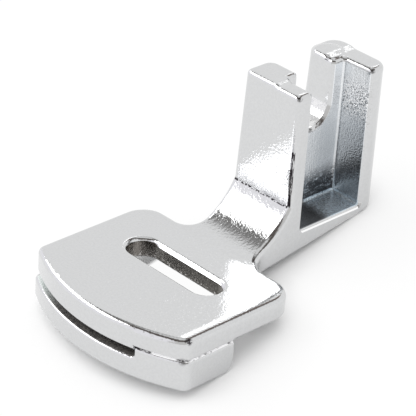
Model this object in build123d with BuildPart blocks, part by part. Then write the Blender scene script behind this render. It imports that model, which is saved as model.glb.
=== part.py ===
"""Low-shank gathering foot: one die-cast, chrome-plated piece.

Millimetres. +X is to the sewer's right, +Y away from the sewer, +Z up.
The origin lies on the sole plane, straight below the middle of the needle slot.
"""

import math
import os

from build123d import *

# Levels above the sole plane
PLATE_UNDER = 3.05
PLATE_TOP = 5.05
FLANGE_TOP = 19.48
EAR_RISE = 0.14

# Sole plate, in plan
PLATE_WIDTH = 19.2
PLATE_FRONT = 9.85
PLATE_BACK = 5.3
FRONT_RADIUS = 18.5
FRONT_CORNER = 0.9
BACK_CORNER = 2.3
FLARE_RADIUS = 2.0
PLATE_TOP_ROUND = 0.5
UNDER_ROUND = 0.4

# Needle slot
SLOT_LENGTH = 10.8
SLOT_WIDTH = 2.95
SLOT_RIM = 0.4
SLOT_UNDER_RIM = 0.3

# Tongue under the front of the plate, and the fabric slit above it
TONGUE_THICK = 2.05
TONGUE_SETBACK = 0.5
TONGUE_OVERHANG = 0.05
TONGUE_LEFT_OVERHANG = 0.3
TONGUE_UNDER_ROUND = 0.45
TONGUE_HEEL = 1.4
SEAM_ROUND = 0.28
SLIT_TOP = 2.75
SLIT_END = 5.1
SLIT_END_ROUND = 0.3

# Neck between plate and shank
NECK_WIDTH = 7.25
NECK_FOOT = 3.8
CREASE_LEVEL = 8.8
HEEL_SLOPE = 8.5
HEEL_BLEND = 9.0
HEEL_CORNER = 2.6

# Shank
FRONT_FLANGE = 1.85
REAR_FLANGE = 2.3
SHANK_LEFT_TOP = -3.05
FRONT_LEFT_CORNER = 0.6
FRONT_RIGHT_CORNER = 0.5
REAR_CORNER = 1.4
TOP_EDGE = 0.42

# Channel that clasps the presser bar
BAR_DIAMETER = 6.8
BAR_CLEARANCE = 0.2
BAR_AXIS = 15.3
WEB_INNER = 0.3
CHANNEL_FLOOR = 6.2
CHANNEL_DRAFT = 2.5
CHANNEL_CORNER = 0.3
CHANNEL_RIM = 0.3

# Notch for the clamp screw, open at the top
SCREW_DIAMETER = 4.0
SCREW_CLEARANCE = 0.3
SCREW_DROP = 3.88
NOTCH_OUTER_EDGE = 1.0
NOTCH_INNER_EDGE = 0.3

# Ears: how far right each stays at full height, and the ramp down to its flange
FRONT_EAR_END = 0.3
REAR_EAR_END = -1.1
EAR_RAMP = 0.8

# Sizes that follow from the ones above
half_width = PLATE_WIDTH / 2
ear_top = FLANGE_TOP + EAR_RISE
front_corner_y = FRONT_RADIUS - PLATE_FRONT - math.sqrt(FRONT_RADIUS**2 - half_width**2)
neck_side = NECK_WIDTH / 2
channel_width = BAR_DIAMETER + BAR_CLEARANCE
channel_front = BAR_AXIS - channel_width / 2
channel_rear = BAR_AXIS + channel_width / 2
draft_gain = math.tan(math.radians(CHANNEL_DRAFT))
shank_front = channel_front - FRONT_FLANGE
shank_rear = channel_rear + REAR_FLANGE
neck_rise = CREASE_LEVEL - PLATE_TOP
neck_run = shank_front - NECK_FOOT
neck_radius = (neck_run**2 + neck_rise**2) / (2 * neck_rise)
neck_gain = neck_run / (neck_radius - neck_rise)
neck_end = (shank_front + channel_front) / 2
heel_gain = math.tan(math.radians(HEEL_SLOPE))
notch_width = SCREW_DIAMETER + SCREW_CLEARANCE
notch_side = notch_width / 2
screw_level = FLANGE_TOP - SCREW_DROP
tongue_back = -SLOT_WIDTH / 2 - TONGUE_SETBACK
tongue_left = -half_width - TONGUE_LEFT_OVERHANG
tongue_right = half_width + TONGUE_OVERHANG

# Values with no bearing on the shape: a selection tolerance, how far a cut runs past the metal,
# and how much of a direction lies along an axis before it counts as that axis
TOUCH = 0.01
PAST = 1.0
MOSTLY = 0.7


def heel_level(y):
    """Height of the slanting underside of the heel."""
    return PLATE_UNDER + heel_gain * (y - PLATE_BACK)


def neck_level(y):
    """Height of the concave front of the neck."""
    return PLATE_TOP + neck_radius - math.sqrt(neck_radius**2 - (y - NECK_FOOT) ** 2)


def at(shapes, axis, place):
    """The shapes whose middle lies at one place along an axis."""
    return shapes.filter_by_position(axis, place - TOUCH, place + TOUCH)


def skins(part, way):
    """The faces that look up (way 1) or down (way -1) and never to the side."""
    return part.faces().filter_by(
        lambda f: abs(f.normal_at().X) < TOUCH and way * f.normal_at().Z > TOUCH
    )


def uprights(part):
    """The edges that rise, straight or leaning."""
    return part.edges().filter_by(lambda e: abs(e.tangent_at().Z) > MOSTLY)


def rim_of(faces):
    """The edges around a run of faces, without the lines where those faces meet."""
    edges = [e for f in faces for e in f.edges()]
    return [e for e in edges if sum(e == other for other in edges) == 1]


# Where the round of the heel's corner starts on the rear face and ends on the underside
heel_reach = HEEL_CORNER / math.tan(math.radians((90 + HEEL_SLOPE) / 2))
heel_start = (shank_rear, heel_level(shank_rear) + heel_reach)
heel_stop = (
    shank_rear - heel_reach * math.cos(math.radians(HEEL_SLOPE)),
    heel_level(shank_rear) - heel_reach * math.sin(math.radians(HEEL_SLOPE)),
)

# Sole plate with the neck that sweeps up from it
with BuildPart() as sole:
    with BuildSketch() as plan:
        with BuildLine():
            front = ThreePointArc(
                (-half_width, front_corner_y),
                (0, -PLATE_FRONT),
                (half_width, front_corner_y),
            )
            Polyline(
                front @ 1,
                (half_width, PLATE_BACK),
                (neck_side, PLATE_BACK),
                (neck_side, neck_end),
                (-neck_side, neck_end),
                (-neck_side, PLATE_BACK),
                (-half_width, PLATE_BACK),
                front @ 0,
            )
        make_face()
        fillet(at(plan.vertices(), Axis.Y, front_corner_y), FRONT_CORNER)
        fillet(at(plan.vertices(), Axis.Y, PLATE_BACK).sort_by(Axis.X)[1:3], FLARE_RADIUS)
        fillet(at(plan.vertices(), Axis.Y, PLATE_BACK).sort_by(Axis.X)[::3], BACK_CORNER)
    extrude(amount=ear_top)
    with BuildSketch(Plane.YZ) as side:
        with BuildLine():
            sweep_up = ThreePointArc(
                (NECK_FOOT, PLATE_TOP),
                (PLATE_BACK, neck_level(PLATE_BACK)),
                (shank_front, CREASE_LEVEL),
            )
            Polyline(
                sweep_up @ 1,
                (neck_end, CREASE_LEVEL + neck_gain * (neck_end - shank_front)),
                (neck_end, heel_level(neck_end)),
                (PLATE_BACK, PLATE_UNDER),
                (-PLATE_FRONT, PLATE_UNDER),
                (-PLATE_FRONT, PLATE_TOP),
                sweep_up @ 0,
            )
        make_face()
        fillet(side.vertices().sort_by_distance((PLATE_BACK, PLATE_UNDER))[0], HEEL_BLEND)
    extrude(amount=half_width, both=True, mode=Mode.INTERSECT)
    crown = rim_of(skins(sole, 1))
    fillet([e for e in crown if e.center().Y < neck_end - TOUCH], PLATE_TOP_ROUND)
    underside = skins(sole, -1).filter_by(lambda f: f.center().Z < PLATE_TOP)
    fillet([e for e in rim_of(underside) if e.center().Y < neck_end - TOUCH], UNDER_ROUND)
    with BuildSketch(Plane.XY.offset(PLATE_UNDER)):
        SlotOverall(SLOT_LENGTH, SLOT_WIDTH)
    extrude(amount=neck_rise, mode=Mode.SUBTRACT)
    slot_edges = sole.edges().filter_by(
        lambda e: abs(e.center().X) < SLOT_LENGTH / 2 + TOUCH and abs(e.center().Y) < SLOT_WIDTH
    )
    fillet(at(slot_edges, Axis.Z, PLATE_TOP), SLOT_RIM)
    slot_edges = sole.edges().filter_by(
        lambda e: abs(e.center().X) < SLOT_LENGTH / 2 + TOUCH and abs(e.center().Y) < SLOT_WIDTH
    )
    chamfer(at(slot_edges, Axis.Z, PLATE_UNDER), SLOT_UNDER_RIM)

# Lip: the plate's lower front, over the fabric slit at the left and the tongue's root at the right
with BuildPart() as lip:
    with BuildSketch(Plane.XY.offset(SLIT_TOP)) as lip_plan:
        with BuildLine():
            front = ThreePointArc(
                (-half_width, front_corner_y),
                (0, -PLATE_FRONT),
                (half_width, front_corner_y),
            )
            Polyline(
                front @ 1,
                (half_width, tongue_back),
                (-half_width, tongue_back),
                front @ 0,
            )
        make_face()
        fillet(at(lip_plan.vertices(), Axis.Y, front_corner_y), FRONT_CORNER)
    extrude(amount=(PLATE_UNDER + PLATE_TOP) / 2 - SLIT_TOP)
    with BuildSketch(Plane.XZ.offset(PLATE_FRONT + PAST)):
        with Locations((SLIT_END, SLIT_TOP)):
            Rectangle(half_width, PLATE_UNDER - SLIT_TOP, align=Align.MIN)
    extrude(amount=-PLATE_FRONT - PAST, mode=Mode.SUBTRACT)
    low = [f for f in lip.faces().filter_by(Plane.XY) if f.center().Z < PLATE_UNDER + TOUCH]
    fillet(
        [
            e
            for f in low
            for e in f.edges()
            if abs(e.center().Y - tongue_back) > TOUCH and abs(e.center().X - SLIT_END) > TOUCH
        ],
        SEAM_ROUND,
    )

# Tongue, rooted at the right, with the fabric slit cut above it
with BuildPart() as tongue:
    with BuildSketch() as tongue_plan:
        with BuildLine():
            front = ThreePointArc(
                (tongue_left, front_corner_y),
                (0, -PLATE_FRONT - TONGUE_OVERHANG),
                (tongue_right, front_corner_y),
            )
            Polyline(
                front @ 1,
                (tongue_right, tongue_back),
                (tongue_left, tongue_back),
                front @ 0,
            )
        make_face()
        fillet(at(tongue_plan.vertices(), Axis.Y, front_corner_y), FRONT_CORNER)
    extrude(amount=PLATE_UNDER)
    fillet(at(tongue.edges(), Axis.Z, 0).sort_by(Axis.Y)[:-1], TONGUE_UNDER_ROUND)
    fillet(at(tongue.edges(), Axis.Z, PLATE_UNDER).sort_by(Axis.Y)[:-1], SEAM_ROUND)
    with BuildSketch(Plane.YZ):
        with BuildLine():
            tongue_round = TangentArc(
                (tongue_back, TONGUE_HEEL),
                (tongue_back - TONGUE_HEEL, 0),
                tangent=(0, -1),
            )
            Polyline(
                tongue_round @ 1,
                (tongue_back - TONGUE_HEEL, -PAST),
                (tongue_back + PAST, -PAST),
                (tongue_back + PAST, TONGUE_HEEL),
                tongue_round @ 0,
            )
        make_face()
    extrude(amount=half_width + PAST, both=True, mode=Mode.SUBTRACT)
    with BuildSketch(Plane.XZ.offset(PLATE_FRONT + PAST)) as slit:
        with BuildLine():
            Polyline(
                (tongue_left - PAST, TONGUE_THICK),
                (SLIT_END, TONGUE_THICK),
                (SLIT_END, PLATE_UNDER + PAST),
                (tongue_left - PAST, PLATE_UNDER + PAST),
                close=True,
            )
        make_face()
        fillet(slit.vertices().sort_by_distance((SLIT_END, TONGUE_THICK))[0], SLIT_END_ROUND)
    extrude(amount=-PLATE_FRONT - PAST, mode=Mode.SUBTRACT)
    bed = at(tongue.faces().filter_by(Plane.XY), Axis.Z, TONGUE_THICK)[0]
    fillet(
        [
            e
            for e in bed.edges()
            if e.center().X < SLIT_END - SLIT_END_ROUND - TOUCH and e.center().Y < tongue_back - TOUCH
        ],
        SEAM_ROUND,
    )

# Drafted space for the presser bar, its floor and sides opening toward the right
with BuildPart() as bar_channel:
    with BuildSketch():
        with BuildLine():
            Polyline(
                (WEB_INNER, channel_front),
                (neck_side + PAST, channel_front - draft_gain * (neck_side + PAST - WEB_INNER)),
                (neck_side + PAST, channel_rear + draft_gain * (neck_side + PAST - WEB_INNER)),
                (WEB_INNER, channel_rear),
                close=True,
            )
        make_face()
    extrude(amount=ear_top + PAST)
    with BuildSketch(Plane.XZ):
        with BuildLine():
            Polyline(
                (WEB_INNER, CHANNEL_FLOOR),
                (neck_side + PAST, CHANNEL_FLOOR - draft_gain * (neck_side + PAST - WEB_INNER)),
                (neck_side + PAST, ear_top + PAST),
                (WEB_INNER, ear_top + PAST),
                close=True,
            )
        make_face()
    extrude(amount=-shank_rear, mode=Mode.INTERSECT)
    inner_faces = [bar_channel.faces().sort_by(Axis.X)[0], bar_channel.faces().sort_by(Axis.Z)[0]]
    inner_edges = [e for f in inner_faces for e in f.edges()]
    fillet(
        [e for e in inner_edges if e.center().X < neck_side and e.center().Z < ear_top],
        CHANNEL_CORNER,
    )

# Shank: a block with a leaning left face, cut for the bar and for the clamp screw
with BuildPart() as shank:
    with BuildSketch(Plane.XZ.offset(-shank_front)):
        with BuildLine():
            Polyline(
                (-neck_side, 0),
                (neck_side, 0),
                (neck_side, ear_top),
                (SHANK_LEFT_TOP, ear_top),
                (-neck_side, CREASE_LEVEL),
                close=True,
            )
        make_face()
    extrude(amount=shank_front - shank_rear)
    with BuildSketch(Plane.YZ):
        with BuildLine():
            Polyline(
                (shank_front - PAST, 0),
                (shank_rear + PAST, 0),
                (shank_rear + PAST, heel_level(shank_rear + PAST)),
                (shank_front - PAST, heel_level(shank_front - PAST)),
                close=True,
            )
        make_face()
    extrude(amount=half_width, both=True, mode=Mode.SUBTRACT)
    for ear_end, start, end in (
        (FRONT_EAR_END, shank_front - PAST, BAR_AXIS),
        (REAR_EAR_END, BAR_AXIS, shank_rear + PAST),
    ):
        with BuildSketch(Plane.XZ.offset(-start)):
            with BuildLine():
                ramp = Spline(
                    (ear_end, ear_top),
                    (ear_end + EAR_RAMP, FLANGE_TOP),
                    tangents=[(1, 0), (1, 0)],
                )
                Polyline(
                    ramp @ 1,
                    (neck_side + PAST, FLANGE_TOP),
                    (neck_side + PAST, ear_top + PAST),
                    (ear_end, ear_top + PAST),
                    ramp @ 0,
                )
            make_face()
        extrude(amount=start - end, mode=Mode.SUBTRACT)
    fillet(at(uprights(shank), Axis.Y, shank_front).sort_by(Axis.X)[:-1], FRONT_LEFT_CORNER)
    fillet(at(uprights(shank), Axis.Y, shank_rear), REAR_CORNER)
    fillet(at(uprights(shank), Axis.Y, shank_front).sort_by(Axis.X)[-1], FRONT_RIGHT_CORNER)
    fillet(skins(shank, -1).sort_by(Axis.Z)[0].edges(), UNDER_ROUND)
    with BuildSketch(Plane.YZ):
        with BuildLine():
            heel_round = TangentArc(heel_start, heel_stop, tangent=(0, -1))
            Polyline(
                heel_round @ 1,
                (heel_stop[0], 0),
                (shank_rear + PAST, 0),
                (shank_rear + PAST, heel_start[1]),
                heel_round @ 0,
            )
        make_face()
    extrude(amount=half_width, both=True, mode=Mode.SUBTRACT)
    add(bar_channel.part, mode=Mode.SUBTRACT)
    with BuildSketch(Plane.YZ.offset(neck_side)) as notch:
        with Locations((BAR_AXIS, screw_level)):
            Circle(notch_side)
        with Locations((BAR_AXIS, screw_level)):
            Rectangle(notch_width, SCREW_DROP + PAST, align=(Align.CENTER, Align.MIN))
    extrude(amount=-NECK_WIDTH, mode=Mode.SUBTRACT)
    notch_edges = shank.edges().filter_by(
        lambda e: abs(e.center().Y - BAR_AXIS) < notch_side + TOUCH
        and screw_level - notch_width < e.center().Z < FLANGE_TOP - TOUCH
        and abs(e.tangent_at().X) < MOSTLY
    )
    chamfer(at(notch_edges, Axis.X, WEB_INNER), NOTCH_INNER_EDGE)
    fillet(notch_edges.filter_by(lambda e: e.center().X < SHANK_LEFT_TOP + TOUCH), NOTCH_OUTER_EDGE)
    mouth = at(shank.faces().filter_by(Plane.YZ), Axis.X, neck_side)[0]
    mouth_edges = mouth.edges().filter_by(
        lambda e: channel_front - PAST < e.center().Y < channel_rear + PAST
        and CHANNEL_FLOOR - PAST / 2 < e.center().Z < FLANGE_TOP - TOUCH
    )
    chamfer(mouth_edges, CHANNEL_RIM)
    ears = shank.faces().filter_by(
        lambda f: f.normal_at().Z > MOSTLY and f.center().Z > FLANGE_TOP - TOUCH
    )
    fillet(rim_of(ears), TOP_EDGE)

# The whole casting
with BuildPart() as gathering_foot:
    add(sole.part)
    add(lip.part)
    add(tongue.part)
    add(shank.part)

os.makedirs("parts", exist_ok=True)
gathering_foot.part.label = "gathering_foot"
export_step(gathering_foot.part, "parts/gathering_foot.step")
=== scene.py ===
"""A chromed gathering foot on a white table, seen from the front right, in a white tent open at the front."""
import math

import bpy
from mathutils import Matrix, Vector


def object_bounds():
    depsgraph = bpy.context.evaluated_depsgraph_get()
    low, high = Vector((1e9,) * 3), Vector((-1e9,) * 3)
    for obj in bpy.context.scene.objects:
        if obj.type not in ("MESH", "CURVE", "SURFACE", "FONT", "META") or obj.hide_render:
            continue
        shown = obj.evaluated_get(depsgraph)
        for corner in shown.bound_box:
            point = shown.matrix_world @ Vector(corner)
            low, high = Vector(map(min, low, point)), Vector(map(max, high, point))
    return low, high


METRE = 1.0
MM = 0.001
NODE = "gathering_foot"
WHITE = (1.0, 1.0, 1.0)

# Sockets of the mix node by number, because their names repeat: two inputs and the output of each kind
MIX_SOCKETS = {"FLOAT": (2, 3, 0), "RGBA": (6, 7, 2)}
MIX_SHARE = 0

# Camera: it turns about a point on the shank and stands a little to the left of that point and below it
CAMERA_AZIMUTH = 44.972
CAMERA_ELEVATION = 29.613
CAMERA_ROLL = 3.960
CAMERA_DISTANCE = 196.72 * MM
CAMERA_SLIDE = 9.359 * MM
CAMERA_RISE = 11.888 * MM
CAMERA_TARGET = Vector((0.3, 15.3, 19.25)) * MM
CAMERA_LENS = 197.296
CAMERA_SENSOR = 36.0
CLIP_NEAR = 0.02
CLIP_FAR = 10.0

# Table: the foot has tipped back on it, so that it lies on the tongue's rear edge and on the heel
TABLE_TILT = 12.95
TABLE_REACH = 0.9
TABLE_CORNERS = ((-1, -1), (1, -1), (1, 1), (-1, 1))
TABLE_COLOUR = (0.93, 0.93, 0.93)

# Share of even white in the table, to the camera and to metal, and the shadow of contact that takes it away
TABLE_WHITE_SHARE = 0.80
TABLE_SHINE_SHARE = 0.62
CONTACT_REACH = 4.0 * MM
CONTACT_FADE = (0.35, 0.97)
CONTACT_SAMPLES = 8

# Patch of light that falls through the needle slot: its corners on the table and soft edge, in millimetres
STRIP_CORNERS = ((-6.2, 1.75), (2.5, 4.3))
STRIP_EDGE = 0.6
STRIP_SHARE = 0.97

# Light tent, as metal mirrors it: dark in front, where it is open, and under a dim ceiling towards the back
TENT_BACK = 137.0
TENT_FADE = (-0.15, 0.25)
TENT_FRONT = (0.14, 0.125, 0.115)
TENT_CEILING = (0.26, 0.255, 0.25)

# Even light that matt faces get
AMBIENT = (0.98, 0.98, 0.98)

# White walls of the tent: azimuth from +X towards +Y, elevation of the top, fade across it, and colour
TENT_WALLS = [
    (TENT_BACK, 60.0, (-0.11, 0.06), WHITE),
    (45.0, 50.0, (-0.035, 0.035), WHITE),
    (236.0, 40.0, (-0.035, 0.035), (1.10, 1.09, 1.13)),
]

# Round spots in the tent: azimuth and elevation, outer and inner edge in degrees from there, and colour
TENT_CURTAIN = ((315.0, 8.0), (36.0, 22.0), (0.74, 0.73, 0.72))
TENT_PANEL = ((0.0, 90.0), (30.0, 15.0), (0.86, 0.86, 0.86))
TENT_GLOW = ((126.5, 39.5), (6.0, 4.5), (2.0, 2.0, 2.0))
TENT_GAP = ((102.0, 50.0), (11.5, 8.5), (0.17, 0.125, 0.11))

# Softbox at the top of the tent's front left wall
SOFTBOX_AZIMUTH = 214.0
SOFTBOX_ELEVATION = 37.0
SOFTBOX_DISTANCE = 0.5
SOFTBOX_WIDTH = 0.50
SOFTBOX_HEIGHT = 0.18
SOFTBOX_RADIANCE = 3.2

# Patterns on the metal: size of the grain, finer layers in it, and the strength of those
PEEL = (0.22 * MM, 2.0, 0.60)
WAVE = (1.6 * MM, 1.0, 0.50)
SPECK = (0.22 * MM, 1.0, 0.50)
PATCH = (1.1 * MM, 5.0, 0.60)
HAMMER = (0.16 * MM, 1.0, 0.50)
STREAK = (0.16 * MM, 4.0, 0.65)
STREAK_STRETCH = (1.0, 1.0, 0.12)
SCRATCH = (0.20 * MM, 3.0, 0.60)
SCRATCH_STRETCH = (1.0, 0.35, 1.0)

# Depth of the patterns that are felt as well as seen
PEEL_DEPTH = 0.015 * MM
WAVE_DEPTH = 0.015 * MM
STREAK_DEPTH = 0.02 * MM
HAMMER_DEPTH = 0.05 * MM

# From here on, a box is a low and a high corner in millimetres, where None means no limit.
# A pair that ends in the name of a pattern says between which values of that pattern a look comes in.
# The other pairs are places in millimetres between which it comes in, unless their heading says otherwise.

# Chrome plate, bright and dull, with its least and its greatest roughness
CHROME = (0.665, 0.67, 0.675)
CHROME_DULL = (0.635, 0.64, 0.645)
DULL_PEEL = (0.3, 0.7)
CHROME_ROUGHNESS = (0.04, 0.06)
POLISH_PEEL = (0.2, 0.8)
FULL_METAL = 1.0
NO_METAL = 0.0

# Bare casting, which shows through thin plating, with its least and its greatest roughness; its pale grey
# also paints light at the channel's top and its glints, and its dark grey paints shade in the slit and a
# shadow on the channel's floor
CAST_GREY = (0.645, 0.668, 0.69)
CAST_LIGHT = (0.83, 0.85, 0.87)
CAST_DARK = (0.08, 0.08, 0.085)
CAST_ROUGHNESS = (0.14, 0.26)
ROUGH_STREAK = (0.3, 0.7)
# White of the chips, and of the painted highlight on the channel's lip
CHIP_AND_HIGHLIGHT_WHITE = (0.98, 0.98, 0.98)

# Bar channel: paler towards the top as painted light, where its painted glints show more, and plated again up
# the front ear
CHANNEL_BOX = ((0.25, 11.62, 6.02), (3.42, 18.98, 19.1))
CHANNEL_PALE = (10.5, 17.0)
GLINT_SPECK = (0.60, 0.68)
GLINT_RISE = (12.0, 17.0)
GLINT_LEAST = 0.25
EAR_BACK = 13.3
EAR_FADE = (14.5, 18.5)

# Darker, in scratchy streaks, at the foot of the web
WEB_FOOT_BOX = ((None, None, 6.3), (0.40, None, 9.8))
WEB_FOOT_FALL = (9.8, 7.6)
WEB_FOOT_SCRATCH = (0.30, 0.50)

# Floor of the channel: a painted shadow in front, painted light, bluish, behind the shadow's frayed border,
# and a painted highlight on the lip at its open side
FLOOR_BOX = ((0.25, 11.62, 5.9), (3.42, 18.98, 6.5))
FLOOR_BORDER = (14.9, 16.2)
FLOOR_FRAY = 0.8
FLOOR_SPECK = (0.3, 0.6)
FLOOR_LEAST = 0.5
FLOOR_LIT_BLUE = (0.60, 0.70, 0.78)
FLOOR_METALLIC = 0.7
FLOOR_SHADOW_SHARE = 0.7
LIP_HIGHLIGHT_BOX = ((3.50, 11.7, None), (3.61, 18.9, 6.30))

# Hammered inner face of the rear flange: dents all over, and dark pits and white chips in its upper half
HAMMER_BOX = ((0.5, 18.6, 6.3), (3.75, 19.2, 19.0))
DENT_RISE = (9.0, 15.5)
DENT_RISE_LEAST = 0.6
DENT_FALL = (18.8, 16.8)
DENT_FALL_LEAST = 0.3
PIT_RISE = (13.6, 15.2)
PIT_FALL = (18.6, 16.4)
PIT_HAMMER = (0.46, 0.36)
PIT_SHARE = 0.7
CHIP_HAMMER = (0.55, 0.66)

# Slit above the tongue: streaky dark grey of bare casting, darkened further as painted shade, and paler
# towards its open left end as painted light
SLIT_BOX = ((-9.5, None, 2.02), (5.08, -1.9, 2.78))
SLIT_STREAK = (0.3, 0.7)
SLIT_OPEN = (-4.0, -8.8)
SLIT_GREY = (0.34, 0.32, 0.30)
SLIT_LIT_PALE = (0.76, 0.80, 0.79)
SLIT_METALLIC = 0.4

# Needle slot: walls of bare casting, dimmed further as painted shade, with pale dots near the bottom, and a
# left end darker still as painted shade
SLOT_BOX = ((-5.6, -1.6, 3.3), (5.6, 1.6, 4.60))
SLOT_END_BOX = ((-5.6, -1.6, 3.0), (-3.95, 1.6, 4.75))
SLOT_WALL_SHADE = (0.42, 0.40, 0.37)
SLOT_END_SHADE = (0.37, 0.345, 0.32)
SLOT_LIGHT = (0.80, 0.78, 0.76)
DOT_SPECK = (0.58, 0.66)
DOT_FALL = (3.85, 3.45)
DOT_LEAST = 0.1

# Bed of the screw notch, worn white
NOTCH_BOX = ((-2.4, 13.1, 13.3), (0.0, 17.5, 15.2))
NOTCH_SPECK = (0.34, 0.44)
NOTCH_WHITE = (0.84, 0.84, 0.84)
NOTCH_METALLIC = 0.3

# Seam between plate and tongue: a painted highlight with dashes of painted shade; painted shade in the
# crease, and a painted dark reflection on the shank's front right edge
SEAM_BOX = ((5.2, None, 2.96), (None, -1.9, 3.2))
SEAM_HIGHLIGHT = (0.97, 0.97, 0.98)
SEAM_PATCH = (0.45, 0.57)
CREASE_BOX = ((-3.4, 9.70, 8.70), (3.3, 10.05, 8.90))
CREASE_SPECK = (0.46, 0.54)
EDGE_BOX = ((3.20, None, 8.9), (3.49, 10.14, 14.2))
EDGE_STREAK = (0.44, 0.54)
# Colour of the painted shade and dark reflections
PAINTED_DARK = (0.05, 0.045, 0.05)

# Dark corners of the plate and of the shank, painted shade and dark reflection: place, and outer and inner
# reach of the dark, in millimetres
CORNER_SPOTS = [
    ((8.95, -7.0, 3.0), (0.68, 0.32)),
    ((9.33, -6.93, 4.88), (0.42, 0.15)),
    ((3.50, 10.07, 19.32), (0.36, 0.14)),
    ((3.50, 18.97, 19.32), (0.36, 0.14)),
]
CORNER_PEEL = (0.35, 0.55)

# Right edges of plate and shank, rolled off by polishing: start in X, radius, and low and high end in Z
ROLLS = [
    (8.3, 3.8, (4.5, 5.3)),
    (2.85, 2.0, (18.9, None)),
]

# Front ear's ramp down to its flange, which polishing has levelled: its slope and place
RAMP_SLOPE = 0.16
RAMP_BOX = ((0.25, None, 19.30), (1.15, 13.3, None))

# Rear rim of the slot, rolled off too: heights where it starts to lean and where it leans in full
RIM_START = 4.93
RIM_FULL = 4.65
RIM_BOX = ((-4.4, 0.0, 4.60), (5.45, 1.9, RIM_START))
RIM_END = (-4.3, -3.2)

# Round mark of an ejector on the rear ear: its centre seen from above, outer and inner radius, and depth
MARK_CENTRE = Vector((-1.4, 18.5, 0)) * MM
MARK_EDGE = (1.45, 1.15)
MARK_DEPTH = 0.12 * MM
MARK_BOX = ((None, None, 19.22), (None, None, None))
SEEN_FROM_ABOVE = (1.0, 1.0, 0.0)


def direction(azimuth, elevation):
    """Unit vector towards an azimuth, counted from +X towards +Y, and an elevation."""
    turn, rise = math.radians(azimuth), math.radians(elevation)
    return Vector((math.cos(turn) * math.cos(rise), math.sin(turn) * math.cos(rise), math.sin(rise)))


class Graph:
    """A node tree with short calls for the nodes used here. A share is a number from 0 to 1."""

    def __init__(self, tree):
        self.tree = tree
        tree.nodes.clear()

    def node(self, kind, inputs=(), **settings):
        """A new node with its settings and its inputs."""
        made = self.tree.nodes.new(kind)
        for key, value in settings.items():
            setattr(made, key, value)
        for key, value in dict(inputs).items():
            self.feed(made.inputs[key], value)
        return made

    def feed(self, socket, value):
        """Link a socket to another one, or set its value."""
        if isinstance(value, bpy.types.NodeSocket):
            self.tree.links.new(value, socket)
        elif socket.type == "RGBA":
            socket.default_value = (*value, 1.0)
        else:
            socket.default_value = value

    def combine(self, operation, first, *others):
        """One number from several, taken in turn."""
        for other in others:
            first = self.node("ShaderNodeMath", {0: first, 1: other}, operation=operation).outputs[0]
        return first

    def product(self, *values):
        return self.combine("MULTIPLY", *values)

    def most(self, *values):
        return self.combine("MAXIMUM", *values)

    def above(self, value, least):
        """How far a value lies above another, and 0 below."""
        return self.most(self.combine("SUBTRACT", value, least), 0.0)

    def outside(self, share):
        """What a share leaves."""
        return self.combine("SUBTRACT", 1.0, share)

    def vector(self, operation, first, second, output):
        return self.node("ShaderNodeVectorMath", {0: first, 1: second}, operation=operation).outputs[output]

    def dot(self, first, second):
        return self.vector("DOT_PRODUCT", first, second, "Value")

    def apart(self, first, second):
        """Distance between two places."""
        return self.vector("DISTANCE", first, second, "Value")

    def scaled(self, first, second):
        return self.vector("MULTIPLY", first, second, "Vector")

    def ramp(self, value, span, least=0.0, most=1.0):
        """Smooth step from least to most, over a span of the value."""
        inputs = {"Value": value, "From Min": span[0], "From Max": span[1], "To Min": least, "To Max": most}
        return self.node("ShaderNodeMapRange", inputs, interpolation_type="SMOOTHSTEP").outputs["Result"]

    def fade(self, value, span, least=0.0):
        """Smooth step from least to 1, over a span in millimetres."""
        return self.ramp(value, [end * MM for end in span], least)

    def mix(self, share, first, second, kind="RGBA"):
        """Blend of two colours, or of two values of another kind."""
        none, full, result = MIX_SOCKETS[kind]
        inputs = {MIX_SHARE: share, none: first, full: second}
        return self.node("ShaderNodeMix", inputs, data_type=kind).outputs[result]

    def blend(self, share, first, second):
        """Blend of two numbers."""
        return self.mix(share, first, second, "FLOAT")

    def cover(self, share, first, second):
        """Blend of two shaders."""
        return self.node("ShaderNodeMixShader", {0: share, 1: first, 2: second}).outputs[0]

    def paint(self, colour, layers):
        """A colour under layers, each with its share and its colour."""
        for share, coat in layers:
            colour = self.mix(share, colour, coat)
        return colour

    def place(self):
        """Place of a point in its object's frame."""
        return self.node("ShaderNodeTexCoord").outputs["Object"]

    def split(self, place):
        """X, Y and Z of a place."""
        return self.node("ShaderNodeSeparateXYZ", {0: place}).outputs

    def ray_kinds(self):
        """Shares of rays from the camera and of rays off shiny faces, each 0 or 1."""
        path = self.node("ShaderNodeLightPath").outputs
        return path["Is Camera Ray"], self.most(path["Is Glossy Ray"], path["Is Transmission Ray"])


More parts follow.
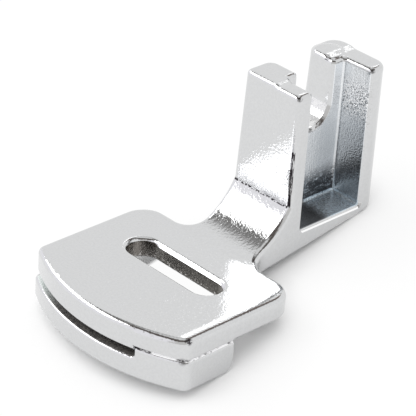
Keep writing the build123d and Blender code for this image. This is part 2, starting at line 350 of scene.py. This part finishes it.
class Casting(Graph):
    """Graph of the foot's metal, with the patterns and places that its colour, polish and relief share."""

    def __init__(self, tree):
        super().__init__(tree)
        self.spot = self.place()
        self.axes = self.split(self.spot)
        self.x, self.y, self.z = self.axes
        self.find_patterns()
        self.find_places()
        self.find_flaws()

    def find_patterns(self):
        """Values of the patterns."""
        self.peel = self.noise(PEEL)
        self.wave = self.noise(WAVE)
        self.speck = self.noise(SPECK)
        self.patch = self.noise(PATCH)
        self.hammer = self.noise(HAMMER)
        self.streak = self.noise(STREAK, STREAK_STRETCH)
        self.scratch = self.noise(SCRATCH, SCRATCH_STRETCH)

    def find_places(self):
        """Shares of the places with thin plating, and of the seam, where a highlight is painted."""
        ear = self.product(self.combine("LESS_THAN", self.y, EAR_BACK * MM), self.fade(self.z, EAR_FADE))
        self.channel = self.product(self.box(CHANNEL_BOX), self.outside(ear))
        self.slit = self.box(SLIT_BOX)
        self.slot = self.box(SLOT_BOX)
        self.seam = self.box(SEAM_BOX)
        self.rough = self.most(self.channel, self.slit, self.slot)

    def find_flaws(self):
        """Shares of flaws and wear, and of the painted shadow and painted light on the channel's floor."""
        floor = self.box(FLOOR_BOX)
        # Painted shadow on the front of the channel's floor, with a frayed border, and painted light, bluish,
        # behind it
        frayed = self.combine("ADD", self.y, self.product(self.speck, FLOOR_FRAY * MM))
        behind = self.fade(frayed, FLOOR_BORDER)
        self.floor_lit = self.product(floor, behind, self.ramp(self.speck, FLOOR_SPECK, FLOOR_LEAST))
        self.floor_shadow = self.product(floor, self.outside(behind), FLOOR_SHADOW_SHARE)
        pitted = self.product(self.box(HAMMER_BOX), self.fade(self.z, PIT_RISE), self.fade(self.z, PIT_FALL))
        self.pits = self.product(pitted, self.ramp(self.hammer, PIT_HAMMER, most=PIT_SHARE))
        self.chips = self.product(pitted, self.ramp(self.hammer, CHIP_HAMMER))
        low = self.fade(self.z, DOT_FALL, DOT_LEAST)
        self.dots = self.product(self.slot, self.ramp(self.speck, DOT_SPECK), low)
        self.notch = self.product(self.box(NOTCH_BOX), self.ramp(self.speck, NOTCH_SPECK))

    def noise(self, pattern, stretch=None):
        """Value of a pattern, about 0.5 on average."""
        size, layers, strength = pattern
        spot = self.spot if stretch is None else self.scaled(self.spot, stretch)
        inputs = {"Vector": spot, "Scale": 1.0 / size, "Detail": layers, "Roughness": strength}
        return self.node("ShaderNodeTexNoise", inputs).outputs["Fac"]

    def box(self, corners):
        """1 inside a box, 0 outside."""
        shares = []
        for value, low, high in zip(self.axes, *corners):
            if low is not None:
                shares.append(self.combine("GREATER_THAN", value, low * MM))
            if high is not None:
                shares.append(self.combine("LESS_THAN", value, high * MM))
        return self.product(*shares)

    def bump(self, height, depth, normal=None, share=1.0):
        """Normal turned by a pattern of some depth."""
        inputs = {"Height": height, "Distance": depth, "Strength": share}
        if normal is not None:
            inputs["Normal"] = normal
        return self.node("ShaderNodeBump", inputs).outputs[0]

    def bend(self, height, normal, share):
        """Normal turned as if the face had this height, in metres."""
        return self.bump(height, METRE, normal, share)


def make_camera():
    """A long lens, far off, above the front right."""
    turn, rise = math.radians(CAMERA_AZIMUTH), math.radians(CAMERA_ELEVATION)
    back = Vector((math.sin(turn) * math.cos(rise), -math.cos(turn) * math.cos(rise), math.sin(rise)))
    level = Vector((math.cos(turn), math.sin(turn), 0))
    upright = back.cross(level)
    roll = math.radians(CAMERA_ROLL)
    right = math.cos(roll) * level + math.sin(roll) * upright
    up = -math.sin(roll) * level + math.cos(roll) * upright
    data = bpy.data.cameras.new("camera")
    data.sensor_width = CAMERA_SENSOR
    data.lens = CAMERA_LENS
    data.clip_start = CLIP_NEAR
    data.clip_end = CLIP_FAR
    camera = bpy.data.objects.new("camera", data)
    bpy.context.scene.collection.objects.link(camera)
    stand = CAMERA_TARGET + CAMERA_DISTANCE * back - CAMERA_SLIDE * right - CAMERA_RISE * up
    camera.matrix_world = Matrix.Translation(stand) @ Matrix((right, up, back)).transposed().to_4x4()
    bpy.context.scene.camera = camera


def make_table(foot):
    """A white plane that touches the foot from below, tilted to the way that the foot lies."""
    tilt = math.radians(TABLE_TILT)
    normal = Vector((0, -math.sin(tilt), math.cos(tilt)))
    along = Vector((0, math.cos(tilt), math.sin(tilt)))
    across = Vector((1, 0, 0))
    centre = normal * min(normal.dot(vertex.co) for vertex in foot.data.vertices)
    corners = [centre + TABLE_REACH * (side * across + end * along) for side, end in TABLE_CORNERS]
    mesh = bpy.data.meshes.new("table")
    mesh.from_pydata([tuple(corner) for corner in corners], [], [(0, 1, 2, 3)])
    table = bpy.data.objects.new("table", mesh)
    bpy.context.scene.collection.objects.link(table)
    mesh.materials.append(make_table_white())


def make_table_white():
    """Matt white with a shadow of contact and the light through the slot. From below the table is clear."""
    material = bpy.data.materials.new("table_white")
    material.use_nodes = True
    graph = Graph(material.node_tree)
    direct, shiny = graph.ray_kinds()
    contact = graph.node("ShaderNodeAmbientOcclusion", {"Distance": CONTACT_REACH}, samples=CONTACT_SAMPLES)
    even = graph.most(graph.product(direct, TABLE_WHITE_SHARE), graph.product(shiny, TABLE_SHINE_SHARE))
    even = graph.product(graph.ramp(contact.outputs["AO"], CONTACT_FADE), even)
    strip = graph.product(direct, STRIP_SHARE)
    for value, low, high in zip(graph.split(graph.place()), *STRIP_CORNERS):
        strip = graph.product(strip, graph.fade(value, (low, low + STRIP_EDGE)))
        strip = graph.product(strip, graph.fade(value, (high, high - STRIP_EDGE)))
    lit = graph.node("ShaderNodeBsdfDiffuse", {"Color": TABLE_COLOUR}).outputs[0]
    white = graph.node("ShaderNodeEmission", {"Color": WHITE}).outputs[0]
    clear = graph.node("ShaderNodeBsdfTransparent").outputs[0]
    below = graph.node("ShaderNodeNewGeometry").outputs["Backfacing"]
    seen = graph.cover(below, graph.cover(graph.most(even, strip), lit, white), clear)
    graph.node("ShaderNodeOutputMaterial", {"Surface": seen})
    return material


def make_tent():
    """World: white to the camera, an even light to matt faces, and to metal a tent of white walls."""
    world = bpy.data.worlds.new("tent")
    bpy.context.scene.world = world
    world.use_nodes = True
    graph = Graph(world.node_tree)
    way = graph.node("ShaderNodeTexCoord").outputs["Generated"]
    behind = graph.ramp(graph.dot(way, direction(TENT_BACK, 0)), TENT_FADE)
    tent = graph.mix(behind, TENT_FRONT, TENT_CEILING)
    for azimuth, top, fade, colour in TENT_WALLS:
        rise = math.radians(top)
        outward = direction(azimuth, 0) * math.sin(rise) - Vector((0, 0, math.cos(rise)))
        tent = graph.mix(graph.ramp(graph.dot(way, outward), fade), tent, colour)
    for towards, edge, colour in (TENT_CURTAIN, TENT_PANEL, TENT_GLOW, TENT_GAP):
        near = graph.dot(way, direction(*towards))
        tent = graph.mix(graph.ramp(near, [math.cos(math.radians(angle)) for angle in edge]), tent, colour)
    direct, shiny = graph.ray_kinds()
    colour = graph.mix(direct, graph.mix(shiny, AMBIENT, tent), WHITE)
    sky = graph.node("ShaderNodeBackground", {"Color": colour}).outputs[0]
    graph.node("ShaderNodeOutputWorld", {"Surface": sky})


def make_softbox(centre):
    """A wide lamp that faces the foot, out of the camera's sight."""
    data = bpy.data.lights.new("softbox", "AREA")
    data.shape = "RECTANGLE"
    data.size = SOFTBOX_WIDTH
    data.size_y = SOFTBOX_HEIGHT
    data.energy = SOFTBOX_RADIANCE * math.pi * SOFTBOX_WIDTH * SOFTBOX_HEIGHT
    lamp = bpy.data.objects.new("softbox", data)
    bpy.context.scene.collection.objects.link(lamp)
    towards = direction(SOFTBOX_AZIMUTH, SOFTBOX_ELEVATION)
    lamp.location = centre + SOFTBOX_DISTANCE * towards
    lamp.rotation_euler = towards.to_track_quat("Z", "Y").to_euler()
    lamp.visible_camera = False


def channel_colour(cast):
    """Grey casting in the bar channel: paler and glinting towards the top as painted light, darker in streaks
    at the foot of the web, with a painted shadow on the front of the floor and painted light behind it, and
    pitted behind.
    """
    # Darker in scratchy streaks towards the foot of the web
    web_foot_dark = cast.product(cast.box(WEB_FOOT_BOX), cast.fade(cast.z, WEB_FOOT_FALL),
                         cast.ramp(cast.scratch, WEB_FOOT_SCRATCH))
    glint = cast.product(cast.ramp(cast.speck, GLINT_SPECK), cast.fade(cast.z, GLINT_RISE, GLINT_LEAST))
    # Paler towards the top: painted light that reaches the upper channel
    grey = cast.mix(cast.fade(cast.z, CHANNEL_PALE), CAST_GREY, CAST_LIGHT)
    return cast.paint(grey, [
        (web_foot_dark, CAST_DARK),
        (glint, CAST_LIGHT),
        # Painted light behind the floor's shadow, and the painted shadow in front
        (cast.floor_lit, FLOOR_LIT_BLUE),
        (cast.floor_shadow, CAST_DARK),
        (cast.pits, CAST_DARK),
        (cast.chips, CHIP_AND_HIGHLIGHT_WHITE),
    ])


def slit_colour(cast):
    """Streaky dark grey of bare casting and painted shade, paler towards the open end as painted light."""
    grey = cast.mix(cast.ramp(cast.streak, SLIT_STREAK), CAST_DARK, SLIT_GREY)
    # Paler towards the open left end: painted light
    return cast.mix(cast.fade(cast.x, SLIT_OPEN), grey, SLIT_LIT_PALE)


def painted_dark_share(cast):
    """Painted shade in dashes along the seam and in the crease, a painted dark reflection on the shank's
    front right edge, and painted shade and dark reflection on four corners.
    """
    marks = [
        cast.product(cast.seam, cast.ramp(cast.patch, SEAM_PATCH)),
        cast.product(cast.box(CREASE_BOX), cast.ramp(cast.speck, CREASE_SPECK)),
        cast.product(cast.box(EDGE_BOX), cast.ramp(cast.streak, EDGE_STREAK)),
    ]
    for corner, reach in CORNER_SPOTS:
        near = cast.fade(cast.apart(cast.spot, Vector(corner) * MM), reach)
        marks.append(cast.product(near, cast.ramp(cast.peel, CORNER_PEEL)))
    return cast.most(*marks)


def metal_colour(cast):
    """Chrome plate, and over it all that shows in other colours."""
    plate = cast.mix(cast.ramp(cast.peel, DULL_PEEL), CHROME, CHROME_DULL)
    return cast.paint(plate, [
        (cast.channel, channel_colour(cast)),
        (cast.slit, slit_colour(cast)),
        # Painted shade on the slot's walls, darker still at its left end
        (cast.slot, SLOT_WALL_SHADE),
        (cast.box(SLOT_END_BOX), SLOT_END_SHADE),
        (cast.dots, SLOT_LIGHT),
        (cast.notch, NOTCH_WHITE),
        # Painted highlight on the channel's lip
        (cast.box(LIP_HIGHLIGHT_BOX), CHIP_AND_HIGHLIGHT_WHITE),
        # Painted highlight along the seam
        (cast.seam, SEAM_HIGHLIGHT),
        # Painted shade and dark reflection on seam, crease, edge and corners
        (painted_dark_share(cast), PAINTED_DARK),
    ])


def metal_share(cast):
    """How much a place mirrors as metal does."""
    metal = cast.blend(cast.slit, FULL_METAL, SLIT_METALLIC)
    metal = cast.blend(cast.floor_lit, metal, FLOOR_METALLIC)
    metal = cast.blend(cast.notch, metal, NOTCH_METALLIC)
    return cast.blend(cast.most(cast.dots, cast.seam, cast.chips), metal, NO_METAL)


def metal_roughness(cast):
    """Smooth plate, and rougher casting where the plating is thin."""
    plate = cast.ramp(cast.peel, POLISH_PEEL, *CHROME_ROUGHNESS)
    bare = cast.ramp(cast.streak, ROUGH_STREAK, *CAST_ROUGHNESS)
    return cast.blend(cast.rough, plate, bare)


def roll_edges(cast, normal):
    """Right edges that fall away along a parabola of the given radius."""
    for start, radius, (low, high) in ROLLS:
        past = cast.above(cast.x, start * MM)
        fall = cast.product(past, past, -0.5 / (radius * MM))
        normal = cast.bend(fall, normal, cast.box(((start, None, low), (None, None, high))))
    return normal


def lean_rim(cast, normal):
    """Rear rim of the slot, which leans along a parabola at first and then evenly."""
    ease = (RIM_START - RIM_FULL) * MM
    curved = cast.combine("MINIMUM", cast.above(RIM_START * MM, cast.z), ease)
    curved = cast.product(curved, curved, 0.5 / ease)
    height = cast.combine("ADD", curved, cast.above(RIM_FULL * MM, cast.z))
    return cast.bend(height, normal, cast.product(cast.box(RIM_BOX), cast.fade(cast.x, RIM_END)))


def metal_relief(cast):
    """Normal with orange peel, rolled edges, the ejector's mark, streaks and dents."""
    normal = cast.bump(cast.peel, PEEL_DEPTH, cast.bump(cast.wave, WAVE_DEPTH))
    normal = roll_edges(cast, normal)
    normal = cast.bend(cast.product(cast.x, RAMP_SLOPE), normal, cast.box(RAMP_BOX))
    normal = lean_rim(cast, normal)
    mark = cast.fade(cast.apart(cast.scaled(cast.spot, SEEN_FROM_ABOVE), MARK_CENTRE), MARK_EDGE)
    normal = cast.bump(mark, MARK_DEPTH, normal, cast.box(MARK_BOX))
    normal = cast.bump(cast.streak, STREAK_DEPTH, normal, cast.rough)
    dented = cast.product(cast.box(HAMMER_BOX), cast.fade(cast.z, DENT_RISE, DENT_RISE_LEAST),
                          cast.fade(cast.z, DENT_FALL, DENT_FALL_LEAST))
    return cast.bump(cast.hammer, HAMMER_DEPTH, normal, dented)


def make_chrome():
    """Bright plate with a fine orange peel, over rough streaky casting in the channel, slot and slit."""
    material = bpy.data.materials.new("chrome_casting")
    material.use_nodes = True
    cast = Casting(material.node_tree)
    inputs = {"Base Color": metal_colour(cast), "Metallic": metal_share(cast),
              "Roughness": metal_roughness(cast), "Normal": metal_relief(cast)}
    shader = cast.node("ShaderNodeBsdfPrincipled", inputs)
    cast.node("ShaderNodeOutputMaterial", {"Surface": shader.outputs[0]})
    return material


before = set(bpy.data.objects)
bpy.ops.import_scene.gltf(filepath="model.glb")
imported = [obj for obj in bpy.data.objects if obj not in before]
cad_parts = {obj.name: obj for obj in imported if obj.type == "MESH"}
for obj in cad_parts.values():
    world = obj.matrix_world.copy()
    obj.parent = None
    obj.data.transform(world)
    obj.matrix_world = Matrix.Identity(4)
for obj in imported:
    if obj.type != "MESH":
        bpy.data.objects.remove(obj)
cad_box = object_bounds()
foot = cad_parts[NODE]
bpy.context.scene.view_settings.view_transform = "Standard"

make_camera()
make_table(foot)
make_tent()
make_softbox((cad_box[0] + cad_box[1]) / 2)
chrome = make_chrome()
for slot in foot.material_slots:
    slot.material = chrome
